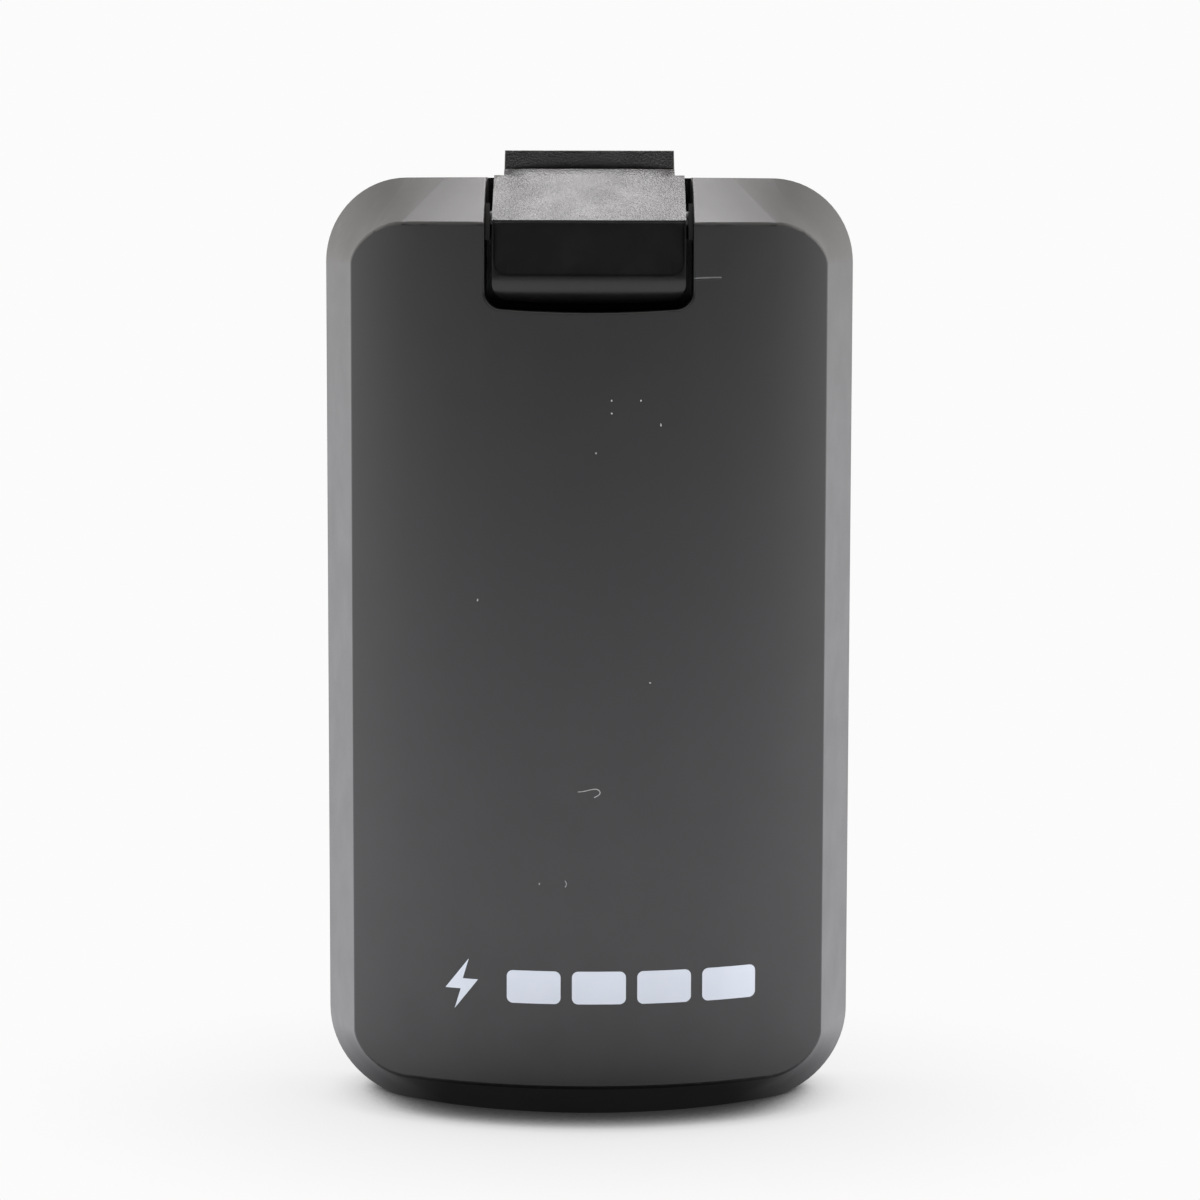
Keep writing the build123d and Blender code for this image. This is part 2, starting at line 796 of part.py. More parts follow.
with BuildPart() as contact_blades:
    with BuildSketch(plane_at(blade_back_depth)):
        with Locations(contact_places):
            Rectangle(blade_width, blade_height)
    extrude(amount=blade_back_depth - board_back_depth)
    chamfer(contact_blades.faces().group_by(Axis.Y)[-1].edges().filter_by(Axis.Z), blade_chamfer)
save(contact_blades, "contact_blades")

# ---- charging socket ---------------------------------------------------------------------------------
with BuildPart() as charge_socket:
    with BuildSketch(plane_at(socket_back_depth)):
        with Locations((socket_x, socket_z)):
            Circle(socket_body_radius)
    extrude(amount=socket_back_depth - socket_front_depth)
    with BuildSketch(plane_at(socket_back_depth)):
        with Locations((socket_x, socket_z)):
            Circle(socket_bore_radius)
    extrude(amount=socket_back_depth - socket_front_depth - socket_floor, mode=Mode.SUBTRACT)
    mouth = charge_socket.edges().filter_by(GeomType.CIRCLE).group_by(Axis.Y)[-1].sort_by(SortBy.RADIUS)[0]
    chamfer(mouth, socket_chamfer)
save(charge_socket, "charge_socket")

with BuildPart() as charge_socket_pin:
    with BuildSketch(plane_at(socket_pin_depth)):
        with Locations((socket_x, socket_z)):
            Circle(socket_pin_radius)
    extrude(amount=socket_pin_depth - socket_front_depth - socket_floor)
    fillet(charge_socket_pin.faces().sort_by(Axis.Y)[-1].edges(), socket_pin_edge_radius)
save(charge_socket_pin, "charge_socket_pin")

with BuildPart() as charge_socket_tails:
    with BuildSketch(plane_at(board_front_depth)):
        tail_x = board_right_x - tail_offset
        with Locations((tail_x, socket_z - tail_pitch / 2), (tail_x, socket_z + tail_pitch / 2)):
            Rectangle(tail_length, tail_width)
    extrude(amount=tail_thickness)
    with BuildSketch(plane_at(overall_depth)):
        with Locations((socket_x, socket_z)):
            Circle(socket_body_radius)
    extrude(amount=overall_depth, mode=Mode.SUBTRACT)
save(charge_socket_tails, "charge_socket_tails")

# ---- wires and the thermistor ---------------------------------------------------------------------------
with BuildPart() as sense_lead:
    with BuildLine(side_plane()) as sense_route:
        FilletPolyline(
            (lead_depth, cell_floor),
            (lead_depth, board_low_z - lead_bend_drop),
            (board_back_depth + lead_radius, board_low_z + lead_joint_rise),
            (board_back_depth + lead_radius, board_low_z + lead_end_rise),
            radius=lead_bend_radius,
        )
    with BuildSketch(level_plane(cell_floor)):
        with Locations((0, lead_depth)):
            Circle(lead_radius)
    sweep(path=sense_route.line)
save(sense_lead, "sense_lead")

with BuildPart() as thermistor:
    with Locations((0, y_at(thermistor_depth), thermistor_z)):
        Sphere(thermistor_radius)
save(thermistor, "thermistor")

thermistor_lead_z = thermistor_z + thermistor_radius
with BuildPart() as thermistor_lead:
    with BuildLine(side_plane()) as thermistor_route:
        FilletPolyline(
            (thermistor_depth, thermistor_lead_z),
            (thermistor_depth, board_low_z - thermistor_bend_drop),
            (board_front_depth - thermistor_lead_run, board_low_z + lead_joint_rise),
            (board_front_depth, board_low_z + lead_joint_rise),
            radius=thermistor_bend_radius,
        )
    with BuildSketch(level_plane(thermistor_lead_z)):
        with Locations((0, thermistor_depth)):
            Circle(lead_radius)
    sweep(path=thermistor_route.line)
save(thermistor_lead, "thermistor_lead")

# ---- foam, screws, label and print -------------------------------------------------------------------------
for label, side in (("left", -1), ("right", 1)):
    with BuildPart() as foam_pad:
        with BuildSketch(level_plane(foam_low_z)):
            with Locations((side * foam_x, foam_center_depth)):
                RectangleRounded(foam_width, foam_depth, foam_corner)
        extrude(amount=foam_height)
        add(inner_limit, mode=Mode.INTERSECT)
    save(foam_pad, "foam_pad_" + label)

screw_seat_depth = overall_depth - head_recess
with BuildPart() as case_screws:
    with BuildSketch(plane_at(screw_seat_depth + head_height)):
        with Locations(post_places):
            Circle(head_radius)
    extrude(amount=head_height)
    with BuildSketch(plane_at(screw_seat_depth)):
        with Locations(post_places):
            Circle(screw_radius)
    extrude(amount=screw_seat_depth - pilot_end_depth - screw_tip_gap)
    with BuildSketch(plane_at(screw_seat_depth + head_height)):
        with Locations(post_places):
            Rectangle(drive_length, drive_width)
            Rectangle(drive_width, drive_length)
    extrude(amount=drive_depth, mode=Mode.SUBTRACT)
save(case_screws, "case_screws")

label_back_depth = overall_depth - label_recess + label_thickness
with BuildPart() as rating_label:
    with BuildSketch(plane_at(label_back_depth)):
        with Locations((0, label_z)):
            RectangleRounded(label_width, label_height, label_corner)
    extrude(amount=label_thickness)
save(rating_label, "rating_label")

with BuildPart() as printed_mark:
    with BuildSketch(level_plane(0)):
        with Locations((0, front_radius)):
            Circle(front_radius + print_thickness)
            Circle(front_radius, mode=Mode.SUBTRACT)
    extrude(amount=body_height)
    with BuildSketch(plane_at(front_radius / 2)):
        with BuildLine():
            Polyline(
                (bolt_x + bolt_lean, print_z + bolt_reach),
                (bolt_x - bolt_half_width, print_z - bolt_notch_z),
                (bolt_x - bolt_notch_x, print_z - bolt_notch_z),
                (bolt_x - bolt_lean, print_z - bolt_reach),
                (bolt_x + bolt_half_width, print_z + bolt_notch_z),
                (bolt_x + bolt_notch_x, print_z + bolt_notch_z),
                close=True,
            )
        make_face()
        with Locations([(bar_first_x + i * bar_pitch, print_z) for i in range(bar_count)]):
            RectangleRounded(bar_width, bar_height, bar_corner)
    extrude(amount=front_radius, mode=Mode.INTERSECT)
save(printed_mark, "printed_mark")
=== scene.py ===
import math

import bmesh
import bpy
from mathutils import Matrix, Vector


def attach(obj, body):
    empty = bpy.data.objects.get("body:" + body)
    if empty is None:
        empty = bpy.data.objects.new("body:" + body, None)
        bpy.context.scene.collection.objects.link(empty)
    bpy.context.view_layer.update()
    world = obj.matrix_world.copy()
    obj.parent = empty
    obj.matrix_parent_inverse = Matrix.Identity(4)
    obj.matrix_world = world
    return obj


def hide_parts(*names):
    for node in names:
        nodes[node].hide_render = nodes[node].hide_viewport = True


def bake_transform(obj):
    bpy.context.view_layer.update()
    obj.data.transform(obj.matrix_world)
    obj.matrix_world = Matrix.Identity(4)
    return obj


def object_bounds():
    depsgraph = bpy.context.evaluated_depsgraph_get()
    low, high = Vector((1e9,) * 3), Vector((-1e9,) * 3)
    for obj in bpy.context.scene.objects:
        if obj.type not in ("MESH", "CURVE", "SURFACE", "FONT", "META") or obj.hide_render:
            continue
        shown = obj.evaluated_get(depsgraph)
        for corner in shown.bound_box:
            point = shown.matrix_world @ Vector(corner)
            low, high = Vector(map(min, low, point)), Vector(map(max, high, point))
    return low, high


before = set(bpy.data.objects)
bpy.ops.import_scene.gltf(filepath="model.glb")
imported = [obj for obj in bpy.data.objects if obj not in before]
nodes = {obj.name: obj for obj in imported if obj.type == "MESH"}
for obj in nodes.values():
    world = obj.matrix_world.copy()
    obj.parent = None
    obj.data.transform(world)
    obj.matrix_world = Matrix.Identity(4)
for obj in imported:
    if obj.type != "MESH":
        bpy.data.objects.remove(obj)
cad_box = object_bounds()

MM = 0.001
scene = bpy.context.scene
front_y = cad_box[0][1]


# ---- small helpers for node trees -----------------------------------------------------------
class Tree:
    """Builds a material's node tree in a few readable calls."""

    def __init__(self, name):
        self.material = bpy.data.materials.new(name)
        self.material.use_nodes = True
        self.nodes = self.material.node_tree.nodes
        self.links = self.material.node_tree.links
        self.shader = self.nodes["Principled BSDF"]
        self.place = self.nodes.new("ShaderNodeTexCoord").outputs["Object"]

    def noise(self, size_mm, detail=4.0, roughness=0.55, stretch=(1, 1, 1), offset=(0, 0, 0)):
        mapping = self.nodes.new("ShaderNodeMapping")
        mapping.inputs["Scale"].default_value = stretch
        mapping.inputs["Location"].default_value = offset
        self.links.new(self.place, mapping.inputs["Vector"])
        node = self.nodes.new("ShaderNodeTexNoise")
        node.inputs["Scale"].default_value = 1.0 / (size_mm * MM)
        node.inputs["Detail"].default_value = detail
        node.inputs["Roughness"].default_value = roughness
        self.links.new(mapping.outputs["Vector"], node.inputs["Vector"])
        return node.outputs["Fac"]

    def cells(self, size_mm, feature="F1", randomness=1.0):
        node = self.nodes.new("ShaderNodeTexVoronoi")
        node.feature = feature
        node.inputs["Scale"].default_value = 1.0 / (size_mm * MM)
        node.inputs["Randomness"].default_value = randomness
        self.links.new(self.place, node.inputs["Vector"])
        return node.outputs["Distance"]

    def ramp(self, value, low_in, high_in, low_out=0.0, high_out=1.0):
        node = self.nodes.new("ShaderNodeMapRange")
        node.clamp = True
        node.inputs["From Min"].default_value = low_in
        node.inputs["From Max"].default_value = high_in
        node.inputs["To Min"].default_value = low_out
        node.inputs["To Max"].default_value = high_out
        self.links.new(value, node.inputs["Value"])
        return node.outputs["Result"]

    def mix(self, factor, first, second):
        node = self.nodes.new("ShaderNodeMix")
        node.data_type = "RGBA"
        self.links.new(factor, node.inputs["Factor"])
        for socket, value in ((node.inputs[6], first), (node.inputs[7], second)):
            if isinstance(value, bpy.types.NodeSocket):
                self.links.new(value, socket)
            else:
                socket.default_value = (*value, 1.0)
        return node.outputs[2]

    def math(self, operation, first, second):
        node = self.nodes.new("ShaderNodeMath")
        node.operation = operation
        for socket, value in ((node.inputs[0], first), (node.inputs[1], second)):
            if isinstance(value, bpy.types.NodeSocket):
                self.links.new(value, socket)
            else:
                socket.default_value = value
        return node.outputs[0]

    def axis(self, name):
        node = self.nodes.new("ShaderNodeSeparateXYZ")
        self.links.new(self.place, node.inputs[0])
        return node.outputs[name]

    def bump(self, height, depth_mm, below=None):
        node = self.nodes.new("ShaderNodeBump")
        node.inputs["Strength"].default_value = 1.0
        node.inputs["Distance"].default_value = depth_mm * MM
        self.links.new(height, node.inputs["Height"])
        if below is not None:
            self.links.new(below, node.inputs["Normal"])
        self.links.new(node.outputs["Normal"], self.shader.inputs["Normal"])
        return node.outputs["Normal"]

    def set(self, **values):
        for name, value in values.items():
            socket = self.shader.inputs[name.replace("_", " ")]
            if isinstance(value, bpy.types.NodeSocket):
                self.links.new(value, socket)
            else:
                socket.default_value = value
        return self


def plastic(
    name, colour, roughness, grain_mm=0.12, grain_depth=0.004, mottle=0.25, rough_spread=0.05
):
    """Moulded plastic: spark-eroded grain, slow colour drift, and gloss that varies with handling."""
    tree = Tree(name)
    drift = tree.noise(9.0, detail=3.0)
    pale = tuple(min(1.0, c * (1 + mottle)) for c in colour)
    deep = tuple(c * (1 - mottle) for c in colour)
    tree.set(Base_Color=tree.mix(tree.ramp(drift, 0.3, 0.7), deep, pale))
    handled = tree.noise(5.0, detail=5.0, roughness=0.65, offset=(0.3, 0.1, 0.2))
    glossy, dull = roughness - rough_spread, roughness + rough_spread
    tree.set(Roughness=tree.ramp(handled, 0.3, 0.7, glossy, dull))
    tree.bump(tree.noise(grain_mm, detail=2.0), grain_depth)
    return tree


def metal(
    name, colour, roughness, streak=(1, 1, 1), streak_mm=0.5, tarnish=0.3, rough_spread=0.08
):
    """Bare metal: drawn or rolled streaks, tarnish that dulls it, and small handling marks."""
    tree = Tree(name)
    stains = tree.noise(2.5, detail=5.0, roughness=0.6)
    dull = tuple(c * (1 - tarnish) for c in colour)
    tree.set(Base_Color=tree.mix(tree.ramp(stains, 0.4, 0.75), colour, dull), Metallic=1.0)
    lines = tree.noise(streak_mm, detail=3.0, stretch=streak)
    polished, worn = roughness - rough_spread, roughness + rough_spread
    tree.set(Roughness=tree.ramp(lines, 0.3, 0.7, polished, worn))
    tree.bump(lines, 0.003)
    return tree


materials = {}

# The outer shell: near-black satin plastic with a fine even grain.
cover = plastic(
    "cover_plastic", (0.0036, 0.0036, 0.0038), 0.38,
    grain_mm=0.16, grain_depth=0.0035, mottle=0.1, rough_spread=0.02,
)
cover.set(IOR=1.5)
materials["cover_plastic"] = cover.material

# The latch: the thumb has dulled the pad and lip below the ridge; the band above it is speckled.
RIDGE_Z = 0.0879
ridge_in_lever = nodes["latch_lever"].matrix_world.inverted() @ Vector((0, 0, RIDGE_Z))
latch = plastic(
    "latch_plastic", (0.0042, 0.0040, 0.0040), 0.34,
    grain_mm=0.3, grain_depth=0.011, mottle=0.2, rough_spread=0.05,
)
band = latch.ramp(latch.axis("Z"), ridge_in_lever.z - 0.3 * MM, ridge_in_lever.z + 0.1 * MM)
latch.set(Specular_IOR_Level=latch.ramp(band, 0.0, 1.0, 0.22, 0.64))
speckle = latch.noise(0.2, detail=2.0, roughness=0.65)
rubbed = latch.noise(4.0, detail=2.0, offset=(0.004, 0.0, 0.001))
patches = latch.ramp(rubbed, 0.35, 0.65, 0.6, 1.0)
speckle_depth = latch.math("MULTIPLY", latch.math("MULTIPLY", speckle, patches), band)
fine_grain = latch.bump(latch.noise(0.3, detail=2.0), 0.006)
latch.bump(speckle_depth, 0.075, below=fine_grain)
materials["latch_plastic"] = latch.material

housing = plastic("housing_plastic", (0.014, 0.014, 0.0145), 0.45, grain_mm=0.25, grain_depth=0.01)
materials["housing_plastic"] = housing.material
contact = plastic("contact_plastic", (0.01, 0.01, 0.01), 0.35, grain_mm=0.3)
materials["contact_plastic"] = contact.material
holder = plastic("holder_plastic", (0.62, 0.60, 0.55), 0.5, grain_mm=0.4, mottle=0.06)
materials["holder_plastic"] = holder.material

# Bare metals. A streak vector stretches the grain along the way each part was drawn or rolled.
for name, colour, roughness, settings in (
    # The pin's dark colour is painted shade for the shaded gaps it sits in beside the latch.
    # Much darker than ground steel: the photo shows no bright pin in the gaps beside the latch.
    ("pin_steel", (0.13, 0.13, 0.135), 0.5, {"streak": (0.1, 1, 1)}),
    ("spring_steel", (0.52, 0.51, 0.50), 0.28, {}),
    ("screw_steel", (0.10, 0.10, 0.105), 0.42, {"tarnish": 0.15}),
    ("cell_steel", (0.66, 0.66, 0.65), 0.32, {"streak": (1, 1, 0.1)}),
    ("nickel", (0.68, 0.66, 0.60), 0.26, {"streak": (1, 0.1, 1)}),
    ("gold_contact", (0.90, 0.62, 0.26), 0.22, {"streak": (1, 1, 0.15)}),
):
    materials[name] = metal(name, colour, roughness, **settings).material

sleeve = plastic("cell_sleeve", (0.05, 0.22, 0.30), 0.24, grain_mm=1.2, grain_depth=0.01, mottle=0.12)
materials["cell_sleeve"] = sleeve.material
paper = plastic("fish_paper", (0.75, 0.74, 0.68), 0.7, grain_mm=0.2, grain_depth=0.01, mottle=0.08)
materials["fish_paper"] = paper.material

board = Tree("board")
tracks = board.cells(1.6, "DISTANCE_TO_EDGE", 0.35)
copper_under_mask = board.ramp(tracks, 0.06, 0.12)
mask_colour = board.mix(copper_under_mask, (0.01, 0.10, 0.035), (0.018, 0.19, 0.06))
board.set(Base_Color=mask_colour, Roughness=0.3)
board.bump(board.ramp(tracks, 0.05, 0.13), 0.02)
materials["board"] = board.material

materials["chip_plastic"] = plastic("chip_plastic", (0.018, 0.018, 0.02), 0.55, grain_mm=0.1).material
materials["fuse_body"] = plastic("fuse_body", (0.55, 0.50, 0.36), 0.45).material
materials["chip_ceramic"] = plastic("chip_ceramic", (0.36, 0.27, 0.17), 0.4, grain_mm=0.1).material
materials["led_lens"] = plastic("led_lens", (0.80, 0.80, 0.70), 0.25).material
pipe = plastic("clear_plastic", (0.75, 0.77, 0.78), 0.22, grain_mm=0.3, grain_depth=0.002, mottle=0.04)
pipe.set(Transmission_Weight=0.85, IOR=1.49)
materials["clear_plastic"] = pipe.material
materials["wire_red"] = plastic("wire_red", (0.45, 0.02, 0.015), 0.4, grain_mm=0.5).material
materials["wire_black"] = plastic("wire_black", (0.015, 0.015, 0.015), 0.4, grain_mm=0.5).material
bead = plastic("thermistor_bead", (0.03, 0.06, 0.12), 0.2, grain_mm=0.5)
materials["thermistor_bead"] = bead.material

foam = Tree("foam")
pores = foam.cells(0.45)
# The pore hollows of the bump are coloured darker: painted shade in the pores.
foam_colour_and_pore_shade = foam.mix(foam.ramp(pores, 0.2, 0.7), (0.02, 0.02, 0.022), (0.07, 0.07, 0.075))
foam.set(Base_Color=foam_colour_and_pore_shade, Roughness=0.9)
foam.bump(pores, 0.15)
materials["foam"] = foam.material

label = plastic("label_film", (0.085, 0.085, 0.09), 0.3, grain_mm=0.4, grain_depth=0.002, mottle=0.06)
materials["label_film"] = label.material

ink = plastic("print_ink", (0.60, 0.65, 0.72), 0.45, grain_mm=0.08, grain_depth=0.002, mottle=0.05)
materials["print_ink"] = ink.material

for name, node in nodes.items():
    slot_name = node.data.materials[0].name.split(".")[0]
    node.data.materials[0] = materials[slot_name]

# ---- edges: the parts that are sharp in the CAD get small rounded edges ------------------------
WELD_DISTANCE = 0.002 * MM


def soften(name, width_mm, segments=3, angle=35):
    node = nodes[name]
    weld = node.modifiers.new("weld", "WELD")
    weld.merge_threshold = WELD_DISTANCE
    bevel = node.modifiers.new("edges", "BEVEL")
    bevel.limit_method = "ANGLE"
    bevel.angle_limit = math.radians(angle)
    bevel.width = width_mm * MM
    bevel.segments = segments
    weighted = node.modifiers.new("normals", "WEIGHTED_NORMAL")
    weighted.weight = 90


soften("latch_lever", 0.14)
soften("inner_housing", 0.12)
soften("contact_block", 0.10)
soften("case_screws", 0.06)

# ---- latch springs: a copy of each spring takes its place, with its transform baked in --------
for side in ("left", "right"):
    still = nodes["latch_spring_" + side]
    coil = bpy.data.objects.new("spring_coil_" + side, still.data.copy())
    scene.collection.objects.link(coil)
    coil.matrix_world = still.matrix_world
    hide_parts(still.name)
    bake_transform(coil)

# ---- dust and wear on the front face, and a scratch's painted highlight and painted shadow ------
cover_node = nodes["front_cover"]
RAY_START = 0.05       # rays start this far in front of the face
FLECK_THICKNESS = 0.05


def on_face(x_mm, z_mm, lift_mm=0.0):
    """The point of the front cover straight behind a place on the front, lifted off the surface."""
    start = Vector((x_mm * MM, front_y - RAY_START, z_mm * MM))
    hit, place, normal, _ = cover_node.ray_cast(start, Vector((0, 1, 0)))
    if not hit:
        raise RuntimeError("no face at %s, %s" % (x_mm, z_mm))
    return place + normal * lift_mm * MM


def thread(name, points, width_mm, lift_mm, material):
    """A fine line that lies on the face, such as a hair, a scratch's raised lip with its painted
    highlight, and the painted shadow strip below that lip.
    """
    curve = bpy.data.curves.new(name, "CURVE")
    curve.dimensions = "3D"
    curve.bevel_depth = width_mm * MM / 2
    curve.bevel_resolution = 2
    spline = curve.splines.new("NURBS")
    spline.points.add(len(points) - 1)
    for target, (x, z) in zip(spline.points, points):
        target.co = (*on_face(x, z, lift_mm), 1.0)
    spline.order_u = 3
    spline.use_endpoint_u = True
    piece = bpy.data.objects.new(name, curve)
    scene.collection.objects.link(piece)
    curve.materials.append(material)
    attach(piece, "pack")
    return piece


def flecks(name, places, material):
    """Specks of dust: flat uneven grains on the face. Each place is x, z, width and height in mm."""
    mesh = bpy.data.meshes.new(name)
    grains = bmesh.new()
    for number, (x, z, width, height) in enumerate(places):
        made = bmesh.ops.create_icosphere(grains, subdivisions=2, radius=0.5)
        centre = on_face(x, z)
        for vertex in made["verts"]:
            x_unit, y_unit, z_unit = vertex.co
            uneven = 1 + 0.18 * math.sin(7 * x_unit + 5 * z_unit + 2.3 * number)
            grain = Vector((x_unit * width, y_unit * FLECK_THICKNESS, z_unit * height))
            vertex.co = centre + grain * MM * uneven
    for face in grains.faces:
        face.smooth = True
    grains.to_mesh(mesh)
    grains.free()
    piece = bpy.data.objects.new(name, mesh)
    scene.collection.objects.link(piece)
    mesh.materials.append(material)
    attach(piece, "pack")
    return piece


def face_plastic(name, grey, roughness, grain_mm, grain_depth, mottle):
    """A plain grey material for a mark on the face."""
    colour = (grey, grey, grey)
    return plastic(name, colour, roughness, grain_mm, grain_depth, mottle).material


dust = face_plastic("dust", 0.30, 0.8, 0.05, 0.004, 0.3)
# The scratch's raised lip is real; its light grey is a painted highlight.
lip_highlight = face_plastic("scratch_lip_painted_highlight", 0.07, 0.5, 0.06, 0.006, 0.3)
# A near-black strip of painted shadow below the scratch's lip.
groove_painted_shadow = face_plastic("groove_shadow", 0.004, 0.7, 0.06, 0.004, 0.25)
flecks("face_dust", [
    (2.19, 70.90, 0.16, 0.20),
    (2.19, 69.68, 0.20, 0.18),
    (4.96, 70.89, 0.14, 0.18),
    (6.87, 68.57, 0.14, 0.34),
    (0.71, 65.91, 0.16, 0.18),
    (-10.59, 51.72, 0.15, 0.26),
    (5.92, 43.90, 0.26, 0.14),
    (-4.65, 24.41, 0.14, 0.22),
], dust)
hair = [
    (-0.97, 33.41), (-0.43, 33.45), (0.33, 33.65), (0.87, 33.71),
    (1.22, 33.42), (1.08, 33.07), (0.60, 32.88),
]
fibre = [(-2.19, 24.79), (-2.03, 24.52), (-2.05, 24.32), (-2.17, 24.14)]
scratch_edge = [(9.99, 82.44), (10.63, 82.50), (11.49, 82.51), (12.58, 82.53)]
scratch_shadow_line = [(10.05, 82.26), (10.65, 82.32), (11.49, 82.33), (12.50, 82.35)]
thread("face_hair", hair, 0.09, 0.0, dust)
thread("face_fibre", fibre, 0.09, 0.01, dust)
# The scratch's lip: a real raised ridge, coloured light as a painted highlight.
thread("scratch_lip", scratch_edge, 0.19, -0.01, lip_highlight)
# A strip of painted shadow just below the lip.
thread("scratch_painted_shadow", scratch_shadow_line, 0.17, -0.03, groove_painted_shadow)

# ---- floor, camera and light ------------------------------------------------------------------
# The floor and the world shine one way for the camera and another way for reflections. The strengths
# seen in reflections were tuned until the greys of the dark plastic matched the photo.
BACKDROP_WHITE = 0.965
WHITE = (1.0, 1.0, 1.0, 1.0)

FLOOR_SIZE = 12.0
# The corners sit off centre, so the line where the square splits into triangles is out of the picture.
FLOOR_SHIFT = Vector((2.0, -1.0, 0.0))
CONTACT_SHADOW_REACH = 0.035
CONTACT_SHADOW_SAMPLES = 16
# How bright the floor looks to the camera for each amount of open sky above it, from fully shut to fully
# open: a painted contact shadow in the floor's glow.
CONTACT_SHADOW_TONES = (
    (0.0, 0.004),
    (0.12, 0.05),
    (0.22, 0.22),
    (0.36, 0.62),
    (0.62, 0.84),
    (1.0, BACKDROP_WHITE),
)
PACK_CENTRE = (0.0, -0.004, 0.0)
FLOOR_REFLECTED_TINT = (0.975, 0.965, 1.0, 1.0)
ROOM_REFLECTED_TINT = (1.0, 0.975, 0.945, 1.0)
# Inputs for the reflected and the seen value, and the output, of a Mix node of each kind.
MIX_SOCKETS = {"FLOAT": (2, 3, 0), "RGBA": (6, 7, 2)}


class GlowTree:
    """Adds nodes to the tree of the floor or of the world, which both shine by themselves."""

    def __init__(self, node_tree):
        self.nodes, self.links = node_tree.nodes, node_tree.links

    def feed(self, value, socket):
        if isinstance(value, bpy.types.NodeSocket):
            self.links.new(value, socket)
        else:
            socket.default_value = value

    def smooth(self, value, low_in, high_in, low_out, high_out):
        """Carry a value from one range to another, easing in and out at the ends."""
        node = self.nodes.new("ShaderNodeMapRange")
        node.interpolation_type = "SMOOTHSTEP"
        node.inputs["From Min"].default_value = low_in
        node.inputs["From Max"].default_value = high_in
        node.inputs["To Min"].default_value = low_out
        node.inputs["To Max"].default_value = high_out
        self.links.new(value, node.inputs["Value"])
        return node.outputs["Result"]

    def combine(self, operation, first, second):
        node = self.nodes.new("ShaderNodeMath")
        node.operation = operation
        self.links.new(first, node.inputs[0])
        self.links.new(second, node.inputs[1])
        return node.outputs[0]

    def reflected_or_seen(self, kind, reflected, seen):
        """Use one value for reflections and another for what the camera sees directly."""
        path = self.nodes.new("ShaderNodeLightPath")
        mix = self.nodes.new("ShaderNodeMix")
        mix.data_type = kind
        self.links.new(path.outputs["Is Camera Ray"], mix.inputs["Factor"])
        reflected_at, seen_at, result_at = MIX_SOCKETS[kind]
        self.feed(reflected, mix.inputs[reflected_at])
        self.feed(seen, mix.inputs[seen_at])
        return mix.outputs[result_at]


# The floor glows though it is no lamp: its glow is painted light, and its darkening near the pack is
# painted shadow.
bpy.ops.mesh.primitive_plane_add(size=FLOOR_SIZE, location=(0, 0, 0))
floor = bpy.context.object
floor.name = "floor"
for corner in floor.data.vertices:
    corner.co += FLOOR_SHIFT
floor_material = bpy.data.materials.new("studio_table")
floor_material.use_nodes = True
floor.data.materials.append(floor_material)
table = GlowTree(floor_material.node_tree)
table.nodes.clear()

occlusion = table.nodes.new("ShaderNodeAmbientOcclusion")
occlusion.samples = CONTACT_SHADOW_SAMPLES
occlusion.inputs["Distance"].default_value = CONTACT_SHADOW_REACH
tone = table.nodes.new("ShaderNodeValToRGB")
table.links.new(occlusion.outputs["AO"], tone.inputs["Fac"])
while len(tone.color_ramp.elements) < len(CONTACT_SHADOW_TONES):
    tone.color_ramp.elements.new(0.5)
for element, (position, value) in zip(tone.color_ramp.elements, CONTACT_SHADOW_TONES):
    element.position = position
    element.color = (value, value, value, 1)

floor_place = table.nodes.new("ShaderNodeTexCoord")
floor_axes = table.nodes.new("ShaderNodeSeparateXYZ")
table.links.new(floor_place.outputs["Object"], floor_axes.inputs[0])
floor_radius = table.nodes.new("ShaderNodeVectorMath")
floor_radius.operation = "DISTANCE"
floor_radius.inputs[1].default_value = PACK_CENTRE
table.links.new(floor_place.outputs["Object"], floor_radius.inputs[0])

# Reflected, the table's glow is painted light: dark far in front, dark close under the pack as painted
# shade, and weaker behind it.
table_front = table.smooth(floor_axes.outputs["Y"], -1.08, -0.12, 0.02, 2.6)
table_under = table.smooth(floor_radius.outputs["Value"], 0.014, 0.055, 0.02, 1.0)
table_behind = table.smooth(floor_axes.outputs["Y"], -0.06, 0.06, 1.0, 0.61)
table_glow = table.combine("MULTIPLY", table.combine("MULTIPLY", table_front, table_under), table_behind)
glow = table.nodes.new("ShaderNodeEmission")
table_tint = table.reflected_or_seen("RGBA", FLOOR_REFLECTED_TINT, WHITE)
table_strength = table.reflected_or_seen("FLOAT", table_glow, tone.outputs["Color"])
table.links.new(table_tint, glow.inputs["Color"])
table.links.new(table_strength, glow.inputs["Strength"])
floor_out = table.nodes.new("ShaderNodeOutputMaterial")
table.links.new(glow.outputs[0], floor_out.inputs["Surface"])

# The camera: fitted to the outlines of the pack in the photo.
CAMERA_SENSOR_MM = 36.0
CAMERA_LENS_MM = 108.48
CAMERA_CLIP_END = 20.0
CAMERA_X = 0.00112
CAMERA_HEIGHT = 0.0884
CAMERA_DISTANCE = 0.3425
CAMERA_PITCH = math.radians(6.08)
CAMERA_ROLL = math.radians(0.13)

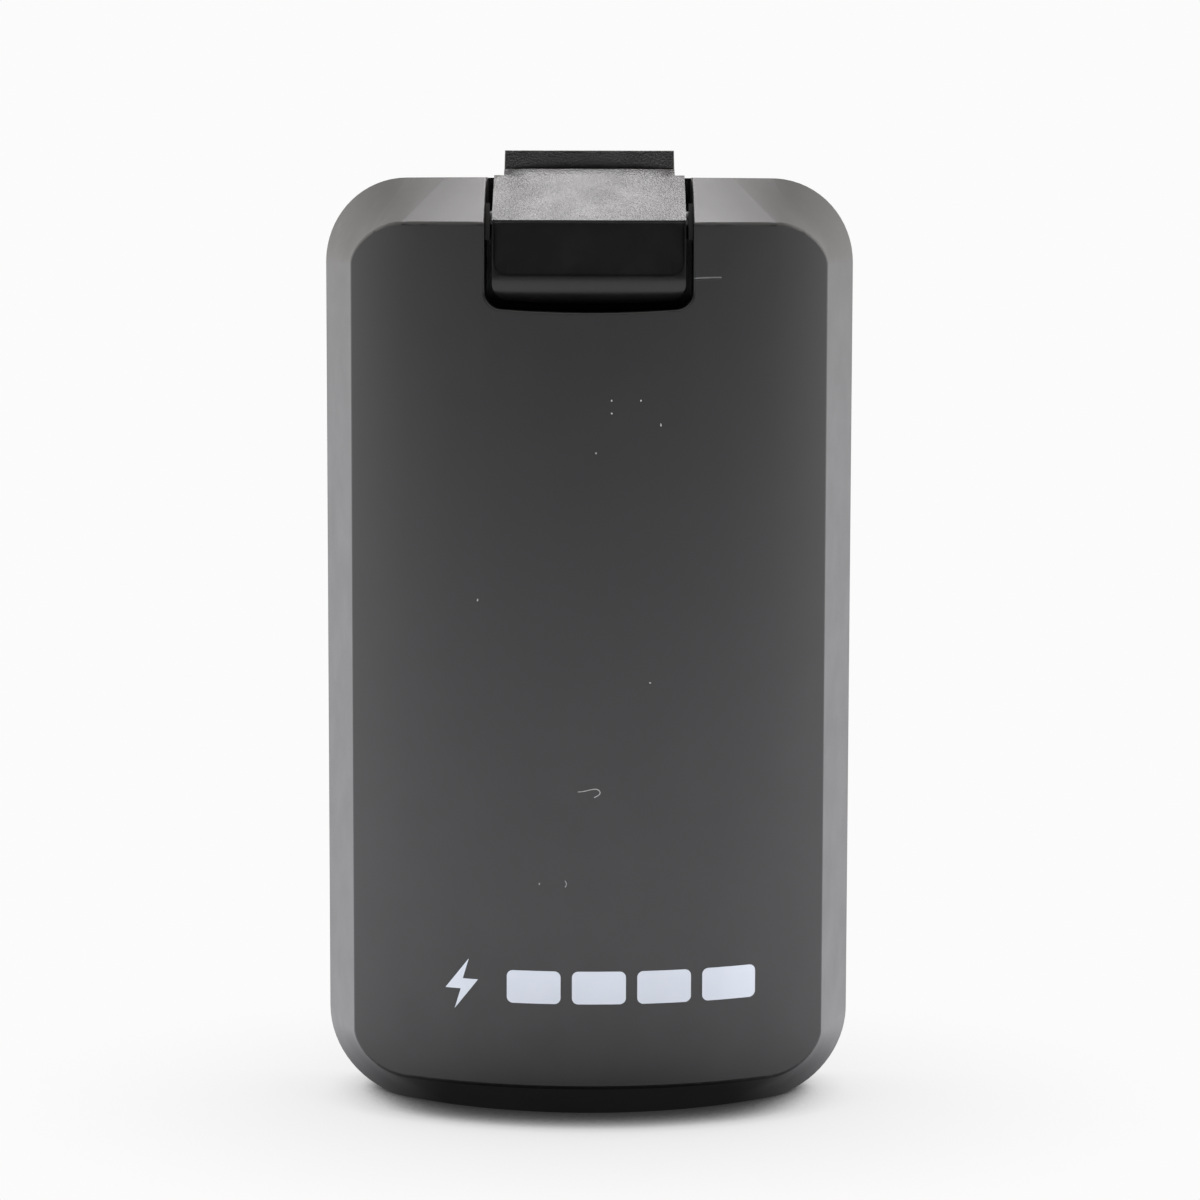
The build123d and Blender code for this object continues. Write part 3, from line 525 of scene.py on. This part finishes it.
camera_data = bpy.data.cameras.new("camera")
camera_data.sensor_width = CAMERA_SENSOR_MM
camera_data.lens = CAMERA_LENS_MM
camera_data.clip_end = CAMERA_CLIP_END
camera = bpy.data.objects.new("camera", camera_data)
scene.collection.objects.link(camera)
camera.matrix_world = (
    Matrix.Translation((CAMERA_X, front_y - CAMERA_DISTANCE, CAMERA_HEIGHT))
    @ Matrix.Rotation(math.pi / 2 - CAMERA_PITCH, 4, "X")
    @ Matrix.Rotation(CAMERA_ROLL, 4, "Z")
)
scene.camera = camera
scene.view_settings.view_transform = "Standard"

# The room: reflected, it is dark in front and low down, and bright behind the pack and overhead.
world = bpy.data.worlds.new("studio")
scene.world = world
world.use_nodes = True
room = GlowTree(world.node_tree)
background = room.nodes["Background"]
coords = room.nodes.new("ShaderNodeTexCoord")
split = room.nodes.new("ShaderNodeSeparateXYZ")
room.links.new(coords.outputs["Generated"], split.inputs[0])
behind = room.smooth(split.outputs["Y"], -0.5, -0.05, 0.0, 1.0)
above = room.smooth(split.outputs["Z"], 0.34, 0.66, 0.0, 1.0)
room_glow = room.smooth(room.combine("MAXIMUM", behind, above), 0.0, 1.0, 0.008, 1.24)
room_strength = room.reflected_or_seen("FLOAT", room_glow, BACKDROP_WHITE)
room_tint = room.reflected_or_seen("RGBA", ROOM_REFLECTED_TINT, WHITE)
room.links.new(room_strength, background.inputs["Strength"])
room.links.new(room_tint, background.inputs["Color"])


def softbox(name, place, aim, size, power, colour):
    """A rectangular lamp at a place, turned to face an aim point."""
    data = bpy.data.lights.new(name, "AREA")
    data.shape = "RECTANGLE"
    data.size, data.size_y = size
    data.energy = power
    data.color = colour
    lamp = bpy.data.objects.new(name, data)
    lamp.location = place
    lamp.rotation_euler = (Vector(aim) - Vector(place)).to_track_quat("-Z", "Y").to_euler()
    scene.collection.objects.link(lamp)


TOP_COLOUR = (1.0, 0.98, 1.0)
SIDE_COLOUR = (1.0, 0.98, 0.95)
SIDE_AIM = (0, 0, 0.05)
SIDE_SIZE = (0.6, 0.8)
softbox("light_top", (0, 0.42, 1.0), (0, 0, 0.08), (0.62, 0.42), 6.6, TOP_COLOUR)
softbox("light_right", (0.85, 0.3, 0.4), SIDE_AIM, SIDE_SIZE, 2.6, SIDE_COLOUR)
softbox("light_left", (-0.85, 0.3, 0.4), SIDE_AIM, SIDE_SIZE, 2.2, SIDE_COLOUR)
